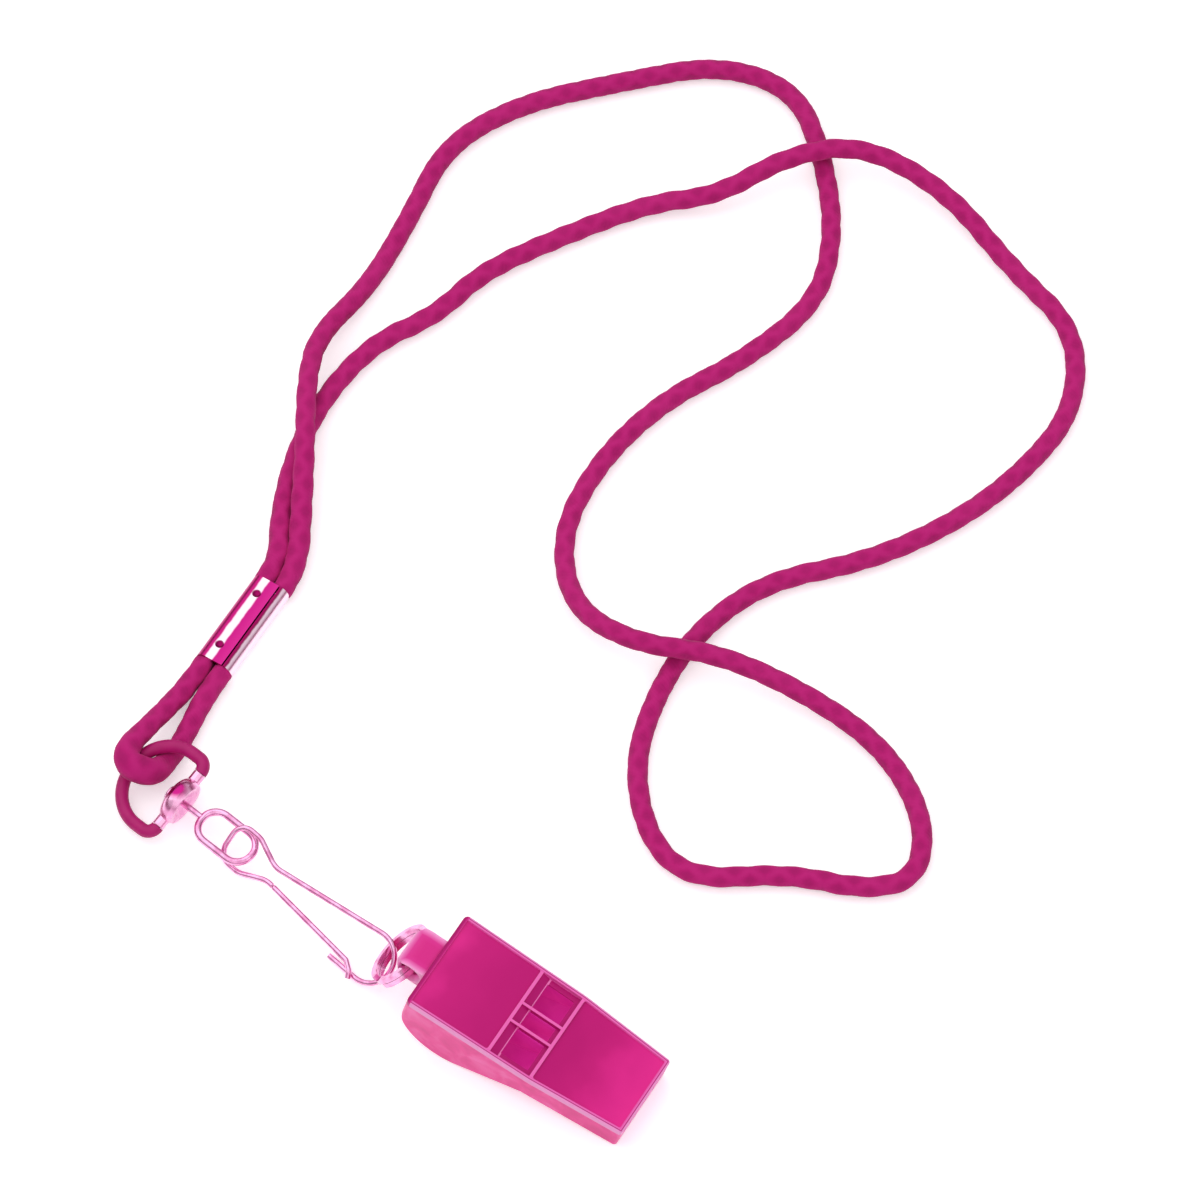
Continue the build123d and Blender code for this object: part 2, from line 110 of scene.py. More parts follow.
def makeCamera():
    turn, lift = math.radians(camera["azimuth"]), math.radians(camera["elevation"])
    back = Vector((math.sin(turn) * math.cos(lift), -math.cos(turn) * math.cos(lift), math.sin(lift)))
    data = bpy.data.cameras.new("photoCamera")
    data.sensor_width = camera["sensor"]
    data.lens = camera["sensor"] * camera["distance"] / camera["frameWidth"]
    eye = bpy.data.objects.new("photoCamera", data)
    eye.location = camera["aim"] + back * camera["distance"]
    eye.rotation_euler = (-back).to_track_quat("-Z", "Y").to_euler()
    scene.collection.objects.link(eye)
    scene.camera = eye


makeCamera()
print("camera set")


# the braided cord: both loops are the same stuff
cord = {
    "diameter": 4.3 * mm,
    "fullness": 1.025,  # the strands' crowns stand a little proud
    "strandSpacing": 4.5,  # of the two strands in the crimp, in millimetres like the routes
    "strandLead": 6.5,  # straight run out of the crimp
    "routeSteps": 12,  # path points between two route points
    "ringStep": 0.42 * mm,
    "around": 20,
    "braidPitch": 3.1 * mm,  # along the cord, from one crossing of a strand to the next
    "braidDepth": 0.19 * mm,
    "carriers": 3,  # strand pairs round the cord
    "gapFloor": -0.6,  # height of the strands' wave that counts as the bottom of a gap
    "strand": [(0.1, "#A80F66"), (0.5, "#B2116C"), (0.95, "#B91A73")],  # from gap to crown: painted shade in the gaps, painted highlight on the crowns
    "worn": "#C02479",
    "wornSize": 14 * mm,
    "wornRange": (0.45, 0.75),
    "wornShare": 0.4,
    "threadSpacing": 0.45 * mm,  # drawn coarser than the real 0.2 mm so that it shows
    "threadSlant": 14.0,  # spacings that a thread runs along in one turn round the cord
    "threadStrength": 0.35,
    "threadDepth": 0.08 * mm,
    "roughness": 0.8,
    "specular": 0.2,
    "sheen": 0.05,
    "sheenRoughness": 0.5,
}

crimpLow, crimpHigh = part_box("cord_crimp")
routeMiddle = (crimpLow + crimpHigh) / (2 * mm)
leftX = routeMiddle.x - cord["strandSpacing"] / 2
rightX = routeMiddle.x + cord["strandSpacing"] / 2
topY, lowY = crimpHigh.y / mm, crimpLow.y / mm
leadTopY, leadLowY = topY + cord["strandLead"], lowY - cord["strandLead"]
strandZ = routeMiddle.z
flat, rising, over = 2.2, 4.2, 7.0  # heights of the cord's middle: on the table, before and at a crossing

# the routes' points, in millimetres
neckRoute = [
    (rightX, topY, strandZ), (rightX, leadTopY, strandZ), (-68.8, 77, 4.9), (-74.4, 87, over),
    (-83.6, 101.8, over), (-88.6, 114, rising), (-86.6, 131, flat), (-88.4, 150, flat), (-91.8, 170, flat),
    (-83.5, 188, flat), (-68, 204, flat), (-52, 219.5, flat), (-34, 222.5, flat), (-20, 210.5, flat),
    (-8, 195, flat), (-2.2, 178, flat), (-8.5, 157, flat), (-17.5, 140.5, flat), (-21.5, 121, flat),
    (-19.5, 101, flat), (-7.5, 86, rising), (9, 84, over), (25, 91.2, over), (44, 94.2, rising),
    (64, 93, flat), (80, 83.5, flat), (86.5, 70.5, flat), (79, 62.2, flat), (63, 57, flat), (47, 45.3, flat),
    (34.5, 48.5, flat), (22.5, 62, flat), (17.8, 80, flat), (17.8, 97, flat), (24, 114, flat),
    (39.5, 129, flat), (50.5, 147, flat), (56.5, 165, flat), (58.2, 184, flat), (48.5, 201.5, flat),
    (29, 207.5, flat), (8, 216.2, rising), (-13, 215.5, over), (-25.5, 204.5, over), (-34, 189, rising),
    (-46, 181, flat), (-58, 163.5, flat), (-67.8, 147, flat), (-70.3, 132.5, flat), (-78.2, 119.5, flat),
    (-80, 101, flat), (-76.6, 84.5, flat), (-70.6, 71, 2.45), (leftX, leadTopY, strandZ),
    (leftX, topY, strandZ),
]
bowRoute = [
    (leftX, lowY, strandZ), (leftX + 0.2, leadLowY, strandZ), (-66.3, 20.8, rising), (-66.7, 12.8, 6.6),
    (-66.9, 6.4, 8.0), (-63.3, 4.3, 7.4), (-59.8, 6.9, 5.0), (-59.7, 11.4, 2.6), (-59.8, 16.5, 2.25),
    (-60.8, 23, 2.25), (rightX, leadLowY, strandZ), (rightX, lowY, strandZ),
]
# where the limp cord is squashed wide, by route point: beside the crimp and round the bow
neckSwell = {1: 1.1, 2: 1.1, len(neckRoute) - 3: 1.1, len(neckRoute) - 2: 1.1}
bowSwell = {1: 1.06, 4: 1.25, 5: 1.5, 6: 1.35, 10: 1.06}


def cordMaterial():  # braided polyester: soft sheen, painted shade between the strands, painted highlight on their crowns
    material, tree, shader = newMaterial("braidedPolyester")
    crown, along, around = [
        addNode(tree, "ShaderNodeAttribute", attribute_name=name).outputs["Fac"]
        for name in ("crown", "along", "around")
    ]
    place = addNode(tree, "ShaderNodeTexCoord").outputs["Object"]
    # painted shade in the gaps between the strands, painted highlight on their crowns
    strand = addNode(tree, "ShaderNodeValToRGB", {0: crown})
    setStops(strand.color_ramp, cord["strand"])
    patches = addNode(
        tree, "ShaderNodeTexNoise", {"Vector": place, "Scale": 1 / cord["wornSize"], "Detail": 3.0}
    )
    first, last = cord["wornRange"]
    worn = addNode(
        tree, "ShaderNodeMapRange", {0: patches.outputs["Fac"], 1: first, 2: last, 4: cord["wornShare"]}
    )
    colour = addNode(
        tree, "ShaderNodeMix",
        {0: worn.outputs[0], 6: strand.outputs["Color"], 7: hexColour(cord["worn"])}, data_type="RGBA",
    )
    spacings = addNode(tree, "ShaderNodeMath", {0: along, 1: cord["threadSpacing"]}, operation="DIVIDE")
    slant = addNode(
        tree, "ShaderNodeMath", {0: around, 1: cord["threadSlant"], 2: spacings.outputs[0]},
        operation="MULTIPLY_ADD",
    )
    thread = addNode(tree, "ShaderNodeMath", {0: slant.outputs[0], 1: 1.0}, operation="PINGPONG")
    bump = addNode(
        tree, "ShaderNodeBump",
        {"Strength": cord["threadStrength"], "Distance": cord["threadDepth"], "Height": thread.outputs[0]},
    )
    setInputs(tree, shader, {
        "Base Color": colour.outputs[2], "Normal": bump.outputs[0], "Roughness": cord["roughness"],
        "Specular IOR Level": cord["specular"], "Sheen Weight": cord["sheen"],
        "Sheen Roughness": cord["sheenRoughness"],
    })
    return material


def braidTree():
    tree = bpy.data.node_groups.new("braidedTube", "GeometryNodeTree")
    sockets = [("Geometry", "Geometry"), ("Material", "Material"), ("Around", "Int"), ("Carriers", "Int")]
    sockets += [(name, "Float") for name in ("Diameter", "Ring Step", "Braid Pitch", "Braid Depth")]
    for name, kind in sockets:
        tree.interface.new_socket(name, in_out="INPUT", socket_type="NodeSocket" + kind)
    tree.interface.new_socket("Geometry", in_out="OUTPUT", socket_type="NodeSocketGeometry")
    given = addNode(tree, "NodeGroupInput").outputs
    steps = addNode(
        tree, "GeometryNodeResampleCurve", {"Curve": given["Geometry"], "Length": given["Ring Step"]},
        mode="LENGTH",
    )
    keepAlong = addNode(tree, "GeometryNodeCaptureAttribute", {"Geometry": steps.outputs[0]})
    keepAlong.capture_items.new("FLOAT", "along")
    runLength = addNode(tree, "GeometryNodeSplineParameter")
    tree.links.new(runLength.outputs["Length"], keepAlong.inputs["along"])
    radius = addNode(tree, "ShaderNodeMath", {0: given["Diameter"], 1: 2.0}, operation="DIVIDE")
    lowered = addNode(
        tree, "ShaderNodeMath", {0: radius.outputs[0], 1: given["Braid Depth"]}, operation="SUBTRACT"
    )
    ring = addNode(
        tree, "GeometryNodeCurvePrimitiveCircle",
        {"Resolution": given["Around"], "Radius": lowered.outputs[0]}, mode="RADIUS",
    )
    keepAround = addNode(tree, "GeometryNodeCaptureAttribute", {"Geometry": ring.outputs["Curve"]})
    keepAround.capture_items.new("FLOAT", "around")
    turnShare = addNode(tree, "GeometryNodeSplineParameter")
    tree.links.new(turnShare.outputs["Factor"], keepAround.inputs["around"])
    swell = addNode(tree, "GeometryNodeInputRadius")
    tube = addNode(
        tree, "GeometryNodeCurveToMesh",
        {
            "Curve": keepAlong.outputs[0], "Profile Curve": keepAround.outputs[0],
            "Scale": swell.outputs[0], "Fill Caps": True,
        },
    )
    # two families of strands wind opposite ways; whichever is higher shows
    turns = addNode(
        tree, "ShaderNodeMath", {0: keepAround.outputs["around"], 1: given["Carriers"]}, operation="MULTIPLY"
    )
    angle = addNode(tree, "ShaderNodeMath", {0: turns.outputs[0], 1: 2 * math.pi}, operation="MULTIPLY")
    pitches = addNode(
        tree, "ShaderNodeMath", {0: keepAlong.outputs["along"], 1: given["Braid Pitch"]}, operation="DIVIDE"
    )
    phase = addNode(tree, "ShaderNodeMath", {0: pitches.outputs[0], 1: math.pi}, operation="MULTIPLY")
    waves = []
    for sense in ("ADD", "SUBTRACT"):
        way = addNode(tree, "ShaderNodeMath", {0: angle.outputs[0], 1: phase.outputs[0]}, operation=sense)
        waves.append(addNode(tree, "ShaderNodeMath", {0: way.outputs[0]}, operation="COSINE"))
    higher = addNode(
        tree, "ShaderNodeMath", {0: waves[0].outputs[0], 1: waves[1].outputs[0]}, operation="MAXIMUM"
    )
    crown = addNode(tree, "ShaderNodeMapRange", {0: higher.outputs[0], 1: cord["gapFloor"]})
    rise = addNode(
        tree, "ShaderNodeMath", {0: crown.outputs[0], 1: given["Braid Depth"]}, operation="MULTIPLY"
    )
    normal = addNode(tree, "GeometryNodeInputNormal")
    offset = addNode(
        tree, "ShaderNodeVectorMath", {0: normal.outputs[0], "Scale": rise.outputs[0]}, operation="SCALE"
    )
    stored = addNode(
        tree, "GeometryNodeSetPosition", {"Geometry": tube.outputs[0], "Offset": offset.outputs[0]}
    )
    fields = {
        "crown": crown.outputs[0],
        "along": keepAlong.outputs["along"],
        "around": keepAround.outputs["around"],
    }
    for name, field in fields.items():
        stored = addNode(
            tree, "GeometryNodeStoreNamedAttribute",
            {"Geometry": stored.outputs[0], "Name": name, "Value": field}, data_type="FLOAT", domain="POINT",
        )
    smooth = addNode(tree, "GeometryNodeSetShadeSmooth", {"Geometry": stored.outputs[0]})
    real = addNode(tree, "GeometryNodeRealizeInstances", {"Geometry": smooth.outputs[0]})
    painted = addNode(
        tree, "GeometryNodeSetMaterial", {"Geometry": real.outputs[0], "Material": given["Material"]}
    )
    addNode(tree, "NodeGroupOutput", {"Geometry": painted.outputs[0]})
    return tree


def meshOf(piece):  # the mesh as its curve and modifiers give it now
    bpy.context.view_layer.update()
    return bpy.data.meshes.new_from_object(piece.evaluated_get(bpy.context.evaluated_depsgraph_get()))


def makeCord(name, route, swell, node, tree, material):
    curve = bpy.data.curves.new(name + "Route", "CURVE")
    curve.dimensions = "3D"
    curve.resolution_u = cord["routeSteps"]
    line = curve.splines.new("NURBS")
    line.points.add(len(route) - 1)
    for index, (point, place) in enumerate(zip(line.points, route)):
        point.co = (*(Vector(place) * mm), 1.0)
        point.radius = cord["fullness"] * swell.get(index, 1.0)
    line.order_u = 3
    line.use_endpoint_u = True
    path = bpy.data.objects.new(name + "Route", curve)
    scene.collection.objects.link(path)
    points = [tuple(vertex.co) for vertex in meshOf(path).vertices]
    values = {
        "Diameter": cord["diameter"], "Ring Step": cord["ringStep"], "Braid Pitch": cord["braidPitch"],
        "Braid Depth": cord["braidDepth"], "Around": cord["around"], "Carriers": cord["carriers"],
        "Material": material,
    }
    braid = path.modifiers.new("braid", "NODES")
    braid.node_group = tree
    for item in tree.interface.items_tree:
        if item.in_out == "INPUT" and item.name in values:
            braid[item.identifier] = values[item.name]
    mesh = meshOf(path)
    bpy.data.objects.remove(path)
    piece = bpy.data.objects.new(name, mesh)
    scene.collection.objects.link(piece)
    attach(piece, "lanyard")
    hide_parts(node)


cordFinish = cordMaterial()
tubeTree = braidTree()
makeCord("neckLoopBraid", neckRoute, neckSwell, "neck_loop_cord", tubeTree, cordFinish)
makeCord("bowLoopBraid", bowRoute, bowSwell, "bow_loop_cord", tubeTree, cordFinish)
print("cords made")


# whistle plastic, coloured by place on the cover and by height above its sunk panels, with painted light and
# shade: highlights on rims, beads and lug, shade in the pockets, a glow in the chambers
whistle = {
    "length": 51.0 * mm,
    "shoulder": 29.4 * mm,
    "halfWidths": [11.5 * mm, 11.1 * mm, 9.5 * mm],  # at the back, the shoulder and the mouth
    "panelMiddle": 9.65 * mm,  # from the back to the mount on the rear panel
    "panel": [  # from the back to the mouth: painted light, lighter towards both ends, for light passing through the tinted plastic
        (0.0, "#E02A8D"), (0.09, "#C61A79"), (0.3, "#BC1472"), (0.6, "#B91270"), (0.76, "#C41877"),
        (0.9, "#DA2488"), (1.0, "#E42A8E"),
    ],
    "cloud": 9 * mm,
    "cloudDrift": 6 * mm,  # how far the panels' shades wander
    "backRimShade": [(0.0, "#A51064"), (0.5, "#AE166B"), (0.8, "#D4308C")],  # in from the edge, like the rim: painted shade along the back edge
    # painted highlight and shade lines along the side and front edges, in from the edge
    "rim": [
        (0.0, "#EFA0D2"), (0.3, "#EA8CC8"), (0.38, "#A91468"), (0.48, "#B01A6E"), (0.57, "#EC70BC"),
        (0.92, "#E258AC"),
    ],
    "rimReach": 1.05 * mm,
    "rimFade": 0.9,  # share of the reach where the rim's colour is full
    "beadHighlight": "#EC68B6",
    "raised": (0.07 * mm, 0.28 * mm),  # heights over which the beads' painted highlight comes in
    # painted shade in the sunk pockets
    "pocket": "#B51570",
    "sunk": (-0.1 * mm, -0.25 * mm),  # depths over which the pocket's painted shade comes in, on the windows' walls too
    "bladeEdge": 21.6 * mm,
    "bladeReach": 0.2 * mm,
    # painted highlight along the blade's edge
    "bladeHighlight": "#EE7CC0",
    "shell": [(0.3, "#E2288A"), (0.5, "#F23A9A"), (0.72, "#FA6AB6")],
    "mottle": 5.0 * mm,
    # painted light: lighter colour in the chambers, shown with the glow below
    "chamber": [(0.3, "#C0208A"), (0.7, "#CC2E94")],
    "wall": (1.0 * mm, 1.4 * mm),  # depths over which the walls' colour gives way to the chambers'
    "glow": 0.36,  # painted glow: emission in the chambers standing in for light that the thin, slightly clear walls pass
    "lug": [(0.0, "#F4A4D4"), (0.3, "#EC72BA"), (0.6, "#DC2E90"), (1.0, "#D82688")],  # in from its edges: painted highlights round the edges, deeper in the middle
    "lugHalfWidth": 4.6 * mm,
    "lugLength": 6.6 * mm,
    "lugReach": 2.6 * mm,
    "lugBlend": 0.1 * mm,
    "grain": 0.5 * mm,
    "grainDepth": 0.05 * mm,
    "coverGrain": 0.06,
    "shellGrain": 0.05,
    "roughness": 0.3,
    "coverSpecular": 0.12,
    "shellSpecular": 0.2,
}
panelPoint = Vector(mounts["rear_panel_face"]["pos_m"])
coverUp = Vector(mounts["rear_panel_face"]["axis"])
coverAlong = Vector(mounts["mouthpiece"]["axis"])
acrossWhistle = Vector((0, 1, 0))


def distanceAlong(tree, place, axis, start=0.0):  # of a surface point, start being the panel's middle
    product = addNode(tree, "ShaderNodeVectorMath", {0: place, 1: tuple(axis)}, operation="DOT_PRODUCT")
    origin = axis.dot(panelPoint) - start
    return addNode(
        tree, "ShaderNodeMath", {0: product.outputs["Value"], 1: origin}, operation="SUBTRACT"
    ).outputs[0]


def middleDistance(tree, place):  # to either side of the whistle's middle
    across = distanceAlong(tree, place, acrossWhistle)
    return addNode(tree, "ShaderNodeMath", {0: across}, operation="ABSOLUTE").outputs[0]


def edgeDistance(tree, place, along):  # in from the whistle's sides
    back, shoulder, mouth = whistle["halfWidths"]
    rear = addNode(tree, "ShaderNodeMapRange", {0: along, 2: whistle["shoulder"], 3: back, 4: shoulder})
    front = addNode(
        tree, "ShaderNodeMapRange",
        {0: along, 1: whistle["shoulder"], 2: whistle["length"], 4: mouth - shoulder},
    )
    half = addNode(tree, "ShaderNodeMath", {0: rear.outputs[0], 1: front.outputs[0]}, operation="ADD")
    return addNode(
        tree, "ShaderNodeMath", {0: half.outputs[0], 1: middleDistance(tree, place)}, operation="SUBTRACT"
    ).outputs[0]


def coverMaterial():  # tinted polycarbonate, injection moulded: glossy, with painted highlights on the thin rims and beads for the light they pass, painted shade in the pockets, and painted light along the panels
    material, tree, shader = newMaterial("tintedPolycarbonateCover")
    place = addNode(tree, "ShaderNodeTexCoord").outputs["Object"]
    height = distanceAlong(tree, place, coverUp)
    along = distanceAlong(tree, place, coverAlong, whistle["panelMiddle"])
    edge = edgeDistance(tree, place, along)
    cloud = addNode(
        tree, "ShaderNodeTexNoise", {"Vector": place, "Scale": 1 / whistle["cloud"], "Detail": 2.0}
    )
    drift = addNode(
        tree, "ShaderNodeMapRange",
        {0: cloud.outputs["Fac"], 3: -whistle["cloudDrift"], 4: whistle["cloudDrift"]},
    )
    shifted = addNode(tree, "ShaderNodeMath", {0: along, 1: drift.outputs[0]}, operation="ADD")
    fromMouth = addNode(tree, "ShaderNodeMath", {0: whistle["length"], 1: along}, operation="SUBTRACT")
    nearest = addNode(tree, "ShaderNodeMath", {0: edge, 1: fromMouth.outputs[0]}, operation="MINIMUM")
    reach = whistle["rimReach"]
    shades = {}
    # ramps of painted light along the panels, and of painted highlight and shade lines along the edges
    for name, distance, end in (
        ("panel", shifted.outputs[0], whistle["length"]), ("rim", nearest.outputs[0], reach),
        ("backRimShade", along, reach),
    ):
        share = addNode(tree, "ShaderNodeMapRange", {0: distance, 2: end})
        ramp = addNode(tree, "ShaderNodeValToRGB", {0: share.outputs[0]})
        setStops(ramp.color_ramp, whistle[name])
        shades[name] = ramp.outputs["Color"]
    # painted highlight line along the blade's edge, inside the pocket's painted shade
    onBlade = addNode(
        tree, "ShaderNodeMath", {0: along, 1: whistle["bladeEdge"], 2: whistle["bladeReach"]},
        operation="COMPARE",
    )
    pocket = addNode(
        tree, "ShaderNodeMix",
        {0: onBlade.outputs[0], 6: hexColour(whistle["pocket"]), 7: hexColour(whistle["bladeHighlight"])},
        data_type="RGBA",
    )
    colour = shades["panel"]
    # layers: painted shade in the pockets, painted highlight on the beads, painted highlight and shade lines
    # on the rims, painted shade at the back edge
    for distance, start, end, layer in (
        (height, *whistle["sunk"], pocket.outputs[2]),
        (height, *whistle["raised"], hexColour(whistle["beadHighlight"])),
        (nearest.outputs[0], reach, whistle["rimFade"] * reach, shades["rim"]),
        (along, reach, whistle["rimFade"] * reach, shades["backRimShade"]),
    ):
        share = addNode(tree, "ShaderNodeMapRange", {0: distance, 1: start, 2: end})
        mixed = addNode(tree, "ShaderNodeMix", {0: share.outputs[0], 6: colour, 7: layer}, data_type="RGBA")
        colour = mixed.outputs[2]
    setInputs(tree, shader, {
        "Base Color": colour, "Roughness": whistle["roughness"],
        "Specular IOR Level": whistle["coverSpecular"],
        "Normal": fineGrain(tree, place, whistle["grain"], whistle["coverGrain"], whistle["grainDepth"]),
    })
    return material


def shellMaterial():  # the same plastic in thicker walls: cloudy, with a painted glow in the chambers for light passed through the walls, and painted highlights round the lug's edges
    material, tree, shader = newMaterial("tintedPolycarbonateShell")
    place = addNode(tree, "ShaderNodeTexCoord").outputs["Object"]
    along = distanceAlong(tree, place, coverAlong, whistle["panelMiddle"])
    edge = edgeDistance(tree, place, along)
    cloud = addNode(
        tree, "ShaderNodeTexNoise",
        {"Vector": place, "Scale": 1 / whistle["mottle"], "Detail": 4.0, "Distortion": 0.6},
    ).outputs["Fac"]
    # painted highlights round the lug's edges, by distance in from them
    fromSide = addNode(
        tree, "ShaderNodeMath", {0: whistle["lugHalfWidth"], 1: middleDistance(tree, place)},
        operation="SUBTRACT",
    )
    fromEnd = addNode(tree, "ShaderNodeMath", {0: along, 1: whistle["lugLength"]}, operation="ADD")
    nearest = addNode(
        tree, "ShaderNodeMath", {0: fromSide.outputs[0], 1: fromEnd.outputs[0]}, operation="MINIMUM"
    )
    fromEdges = addNode(
        tree, "ShaderNodeMapRange", {0: nearest.outputs[0], 2: whistle["lugReach"]}
    ).outputs[0]
    shades = {}
    for name, share in (("shell", cloud), ("chamber", cloud), ("lug", fromEdges)):
        ramp = addNode(tree, "ShaderNodeValToRGB", {0: share})
        setStops(ramp.color_ramp, whistle[name])
        shades[name] = ramp.outputs["Color"]
    # painted glow: the chambers' lighter colour and emission, deeper in than the walls
    outer, inner = whistle["wall"]
    pastSide = addNode(tree, "ShaderNodeMapRange", {0: edge, 1: outer, 2: inner})
    pastBack = addNode(tree, "ShaderNodeMapRange", {0: along, 1: outer, 2: inner})
    inside = addNode(
        tree, "ShaderNodeMath", {0: pastSide.outputs[0], 1: pastBack.outputs[0]}, operation="MULTIPLY"
    )
    onLug = addNode(tree, "ShaderNodeMapRange", {0: along, 1: whistle["lugBlend"], 2: -whistle["lugBlend"]})
    colour = shades["shell"]
    for share, layer in ((inside, shades["chamber"]), (onLug, shades["lug"])):
        mixed = addNode(tree, "ShaderNodeMix", {0: share.outputs[0], 6: colour, 7: layer}, data_type="RGBA")
        colour = mixed.outputs[2]
    glow = addNode(tree, "ShaderNodeMath", {0: inside.outputs[0], 1: whistle["glow"]}, operation="MULTIPLY")
    setInputs(tree, shader, {
        "Base Color": colour, "Emission Color": colour, "Emission Strength": glow.outputs[0],
        "Roughness": whistle["roughness"], "Specular IOR Level": whistle["shellSpecular"],
        "Normal": fineGrain(tree, place, whistle["grain"], whistle["shellGrain"], whistle["grainDepth"]),
    })
    return material


# plating of the wire pieces, the hub and the crimp
metal = {
    # noise patches: stains that roughen the plating, and painted dark reflections in its colour
    "stainAndPaintedReflection": 2.4 * mm,
    "paintedReflectionRange": (0.46, 0.62),
    "paintedReflectionShare": 0.45,
    "roughRange": (0.3, 0.7),
    "roughGrowth": 2.2,  # of the roughness, on the stains
    "scratch": 0.35 * mm,
    "scratchStrength": 0.08,
    "scratchDepth": 0.05 * mm,
}
# wire: bright plating, with patches of painted dark reflection
wire = {"bright": "#F2B2DA", "paintedDarkReflection": "#BE3F8C", "roughness": 0.12}
hub = {
    "bright": "#F6BADD",
    # painted dark reflection in patches
    "paintedDarkReflection": "#D674B2",
    "roughness": 0.16,
    "shade": "#B8227C",  # painted shade: a dark patch on the crown, beside the stem
    "shadeRise": 4.2 * mm,
    "shadeRadius": 2.5 * mm,
    "shadeCore": 0.6,  # share of the radius where the shade is full
}


def platedMetal(name, plating):  # bright plating on wire or sheet, faint drawing marks, patches of painted dark reflection
    material, tree, shader = newMaterial(name)
    place = addNode(tree, "ShaderNodeTexCoord").outputs["Object"]
    # patches of painted dark reflection in the colour; the same noise roughens the plating
    stainAndPaintedReflection = addNode(
        tree, "ShaderNodeTexNoise", {"Vector": place, "Scale": 1 / metal["stainAndPaintedReflection"], "Detail": 3.0}
    ).outputs["Fac"]
    first, last = metal["paintedReflectionRange"]
    share = addNode(tree, "ShaderNodeMapRange", {0: stainAndPaintedReflection, 1: first, 2: last, 4: metal["paintedReflectionShare"]})
    colour = addNode(
        tree, "ShaderNodeMix",
        {0: share.outputs[0], 6: hexColour(plating["bright"]), 7: hexColour(plating["paintedDarkReflection"])},
        data_type="RGBA",
    )
    if "shade" in plating:
        # painted shade on the hub's crown, beside the stem
        crown = Vector(joints["swivel_turn"]["pos_m"]) + Vector((0, 0, plating["shadeRise"]))
        away = addNode(tree, "ShaderNodeVectorMath", {0: place, 1: tuple(crown)}, operation="DISTANCE")
        radius = plating["shadeRadius"]
        onCrown = addNode(
            tree, "ShaderNodeMapRange",
            {0: away.outputs["Value"], 1: radius, 2: plating["shadeCore"] * radius},
        )
        colour = addNode(
            tree, "ShaderNodeMix",
            {0: onCrown.outputs[0], 6: colour.outputs[2], 7: hexColour(plating["shade"])}, data_type="RGBA",
        )
    smoothest = plating["roughness"]
    first, last = metal["roughRange"]
    rough = addNode(
        tree, "ShaderNodeMapRange",
        {0: stainAndPaintedReflection, 1: first, 2: last, 3: smoothest, 4: metal["roughGrowth"] * smoothest},
    )
    setInputs(tree, shader, {
        "Base Color": colour.outputs[2], "Roughness": rough.outputs[0], "Metallic": 1.0,
        "Normal": fineGrain(tree, place, metal["scratch"], metal["scratchStrength"], metal["scratchDepth"]),
    })
    return material


crimp = {
    "paintedReflectionBands": [  # share of the width, and the colour there: painted highlights and dark reflections across the rounded sheet
        (0.24, "#B51D72"), (0.28, "#F9D9EC"), (0.43, "#FBE0F1"), (0.47, "#B61E79"), (0.74, "#C02A82"),
        (0.77, "#A2185F"), (0.83, "#A2185F"), (0.86, "#FBDDEF"),
    ],
    "wobble": 2 * mm,
    "drift": 0.2 * mm,
    "dentPlace": (-1.1 * mm, 7.1 * mm, 0),  # from the crimp's middle
    "dentRadius": 1.0 * mm,
    "dentCore": 0.8,  # share of the radius where the painted shade in the dent is full
    # painted shade in the press marks
    "paintedDentShade": "#8E0F55",
    "roughness": 0.28,
}


def crimpMetal():  # folded sheet: painted highlights and reflections in bands along the folds, and painted shade in the press marks
    material, tree, shader = newMaterial("nickelPlatedCrimp")
    place = addNode(tree, "ShaderNodeTexCoord").outputs["Object"]
    middle = (crimpLow + crimpHigh) / 2
    local = addNode(tree, "ShaderNodeVectorMath", {0: place, 1: tuple(middle)}, operation="SUBTRACT")
    split = addNode(tree, "ShaderNodeSeparateXYZ", {0: local.outputs[0]})
    wobble = addNode(
        tree, "ShaderNodeTexNoise", {"Vector": place, "Scale": 1 / crimp["wobble"], "Detail": 2.0}
    )
    drift = addNode(
        tree, "ShaderNodeMapRange", {0: wobble.outputs["Fac"], 3: -crimp["drift"], 4: crimp["drift"]}
    )
    across = addNode(tree, "ShaderNodeMath", {0: split.outputs["X"], 1: drift.outputs[0]}, operation="ADD")
    half = crimpHigh.x - middle.x
    share = addNode(tree, "ShaderNodeMapRange", {0: across.outputs[0], 1: -half, 2: half})
    # painted highlights and reflections in bands across the width
    paintedReflectionBands = addNode(tree, "ShaderNodeValToRGB", {0: share.outputs[0]})
    setStops(paintedReflectionBands.color_ramp, crimp["paintedReflectionBands"])
    end = addNode(tree, "ShaderNodeMath", {0: split.outputs["Y"]}, operation="ABSOLUTE")
    spot = addNode(tree, "ShaderNodeCombineXYZ", {0: split.outputs["X"], 1: end.outputs[0]})
    away = addNode(
        tree, "ShaderNodeVectorMath", {0: spot.outputs[0], 1: crimp["dentPlace"]}, operation="DISTANCE"
    )
    radius = crimp["dentRadius"]
    # painted shade in the press marks
    dented = addNode(
        tree, "ShaderNodeMapRange", {0: away.outputs["Value"], 1: radius, 2: crimp["dentCore"] * radius}
    )
    colour = addNode(
        tree, "ShaderNodeMix",
        {0: dented.outputs[0], 6: paintedReflectionBands.outputs["Color"], 7: hexColour(crimp["paintedDentShade"])}, data_type="RGBA",
    )
    setInputs(tree, shader, {
        "Base Color": colour.outputs[2], "Roughness": crimp["roughness"], "Metallic": 1.0,
        "Normal": fineGrain(tree, place, metal["scratch"], metal["scratchStrength"], metal["scratchDepth"]),
    })
    return material


bow = {
    "coat": [(0.35, "#A81065"), (0.75, "#B41A6E")],
    "pool": 4 * mm,
    "poolStrength": 0.1,
    "poolDepth": 0.1 * mm,
    "roughness": 0.45,
    "specular": 0.25,
}


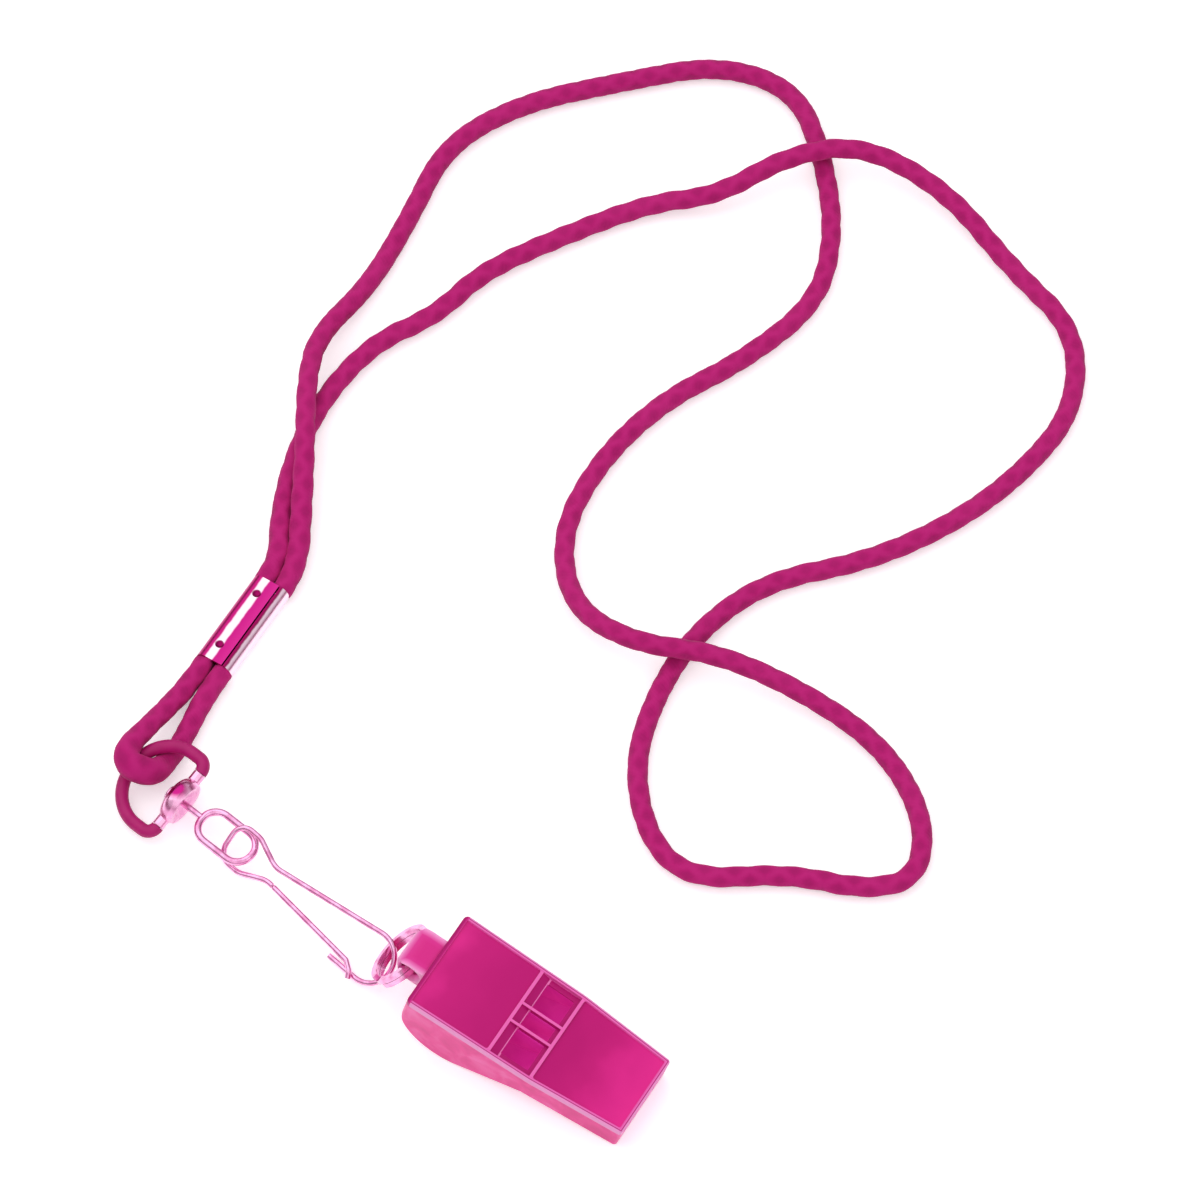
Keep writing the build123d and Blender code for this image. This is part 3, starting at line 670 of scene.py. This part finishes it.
def coatedRod():  # dip-coated steel rod: soft satin skin with slight pooling
    material, tree, shader = newMaterial("dipCoatedSteel")
    place = addNode(tree, "ShaderNodeTexCoord").outputs["Object"]
    pool = addNode(tree, "ShaderNodeTexNoise", {"Vector": place, "Scale": 1 / bow["pool"], "Detail": 2.0})
    coat = addNode(tree, "ShaderNodeValToRGB", {0: pool.outputs["Fac"]})
    setStops(coat.color_ramp, bow["coat"])
    setInputs(tree, shader, {
        "Base Color": coat.outputs["Color"], "Roughness": bow["roughness"],
        "Specular IOR Level": bow["specular"],
        "Normal": fineGrain(tree, place, bow["pool"], bow["poolStrength"], bow["poolDepth"]),
    })
    return material


def paint(names, material):
    for name in names:
        data = nodes[name].data
        data.materials.clear()
        data.materials.append(material)


paint(["whistle_top_cover"], coverMaterial())
paint(["whistle_lower_shell"], shellMaterial())
paint(["split_ring", "snap_hook", "snap_hook_gate", "swivel_eye"], platedMetal("nickelPlatedWire", wire))
paint(["swivel_hub"], platedMetal("nickelPlatedSheet", hub))
paint(["cord_crimp"], crimpMetal())
paint(["swivel_bow"], coatedRod())
print("materials set")


# pale table, soft light
studio = {
    "floorSize": 3.0,
    "floorDrop": 0.3 * mm,
    "floor": "#F4F2F4",
    "floorRoughness": 0.9,
    "floorGlow": 0.4,
    # by height: rose walls, pale ceiling
    "sky": [(0.0, "#7A1B52"), (0.26, "#8E2563"), (0.42, "#F3F3F3"), (1.0, "#F9F9F9")],
    "skyStrength": 0.8,
    "lampSize": 2.0,
    "keyPlace": Vector((-0.7, 0.2, 1.1)),
    "keyPower": 9.0,
    "fillPlace": Vector((0.8, -0.6, 0.8)),
    "fillPower": 5.5,
}


def makeTable():  # white to the camera and in reflections, by its glow, and it still takes shadows
    half, low = studio["floorSize"] / 2, -studio["floorDrop"]
    corners = [(x * half, y * half, low) for x, y in ((-1, -1), (1, -1), (1, 1), (-1, 1))]
    mesh = bpy.data.meshes.new("table")
    mesh.from_pydata(corners, [], [(0, 1, 2, 3)])
    table = bpy.data.objects.new("table", mesh)
    scene.collection.objects.link(table)
    material, tree, shader = newMaterial("paleTable")
    setInputs(
        tree, shader, {"Base Color": hexColour(studio["floor"]), "Roughness": studio["floorRoughness"]}
    )
    rays = addNode(tree, "ShaderNodeLightPath")
    seen = rays.outputs["Is Camera Ray"]
    for kind in ("Is Glossy Ray", "Is Transmission Ray"):
        either = addNode(tree, "ShaderNodeMath", {0: seen, 1: rays.outputs[kind]}, operation="MAXIMUM")
        seen = either.outputs[0]
    strength = addNode(tree, "ShaderNodeMath", {0: seen, 1: studio["floorGlow"]}, operation="MULTIPLY")
    glow = addNode(tree, "ShaderNodeEmission", {"Color": (1, 1, 1, 1), "Strength": strength.outputs[0]})
    both = addNode(tree, "ShaderNodeAddShader", {0: shader.outputs[0], 1: glow.outputs[0]})
    tree.links.new(both.outputs[0], tree.nodes["Material Output"].inputs["Surface"])
    mesh.materials.append(material)


def makeLight():
    world = bpy.data.worlds.new("softRoom")
    world.use_nodes = True
    scene.world = world
    tree = world.node_tree
    place = addNode(tree, "ShaderNodeTexCoord")
    split = addNode(tree, "ShaderNodeSeparateXYZ", {0: place.outputs["Generated"]})
    sky = addNode(tree, "ShaderNodeValToRGB", {0: split.outputs["Z"]})
    setStops(sky.color_ramp, studio["sky"])
    setInputs(
        tree, tree.nodes["Background"], {"Color": sky.outputs["Color"], "Strength": studio["skyStrength"]}
    )
    for name in ("key", "fill"):
        data = bpy.data.lights.new(name + "Light", "AREA")
        data.energy = studio[name + "Power"]
        data.size = studio["lampSize"]
        lamp = bpy.data.objects.new(name + "Light", data)
        lamp.location = studio[name + "Place"]
        lamp.rotation_euler = (camera["aim"] - lamp.location).to_track_quat("-Z", "Y").to_euler()
        scene.collection.objects.link(lamp)


makeTable()
makeLight()
print("studio set")
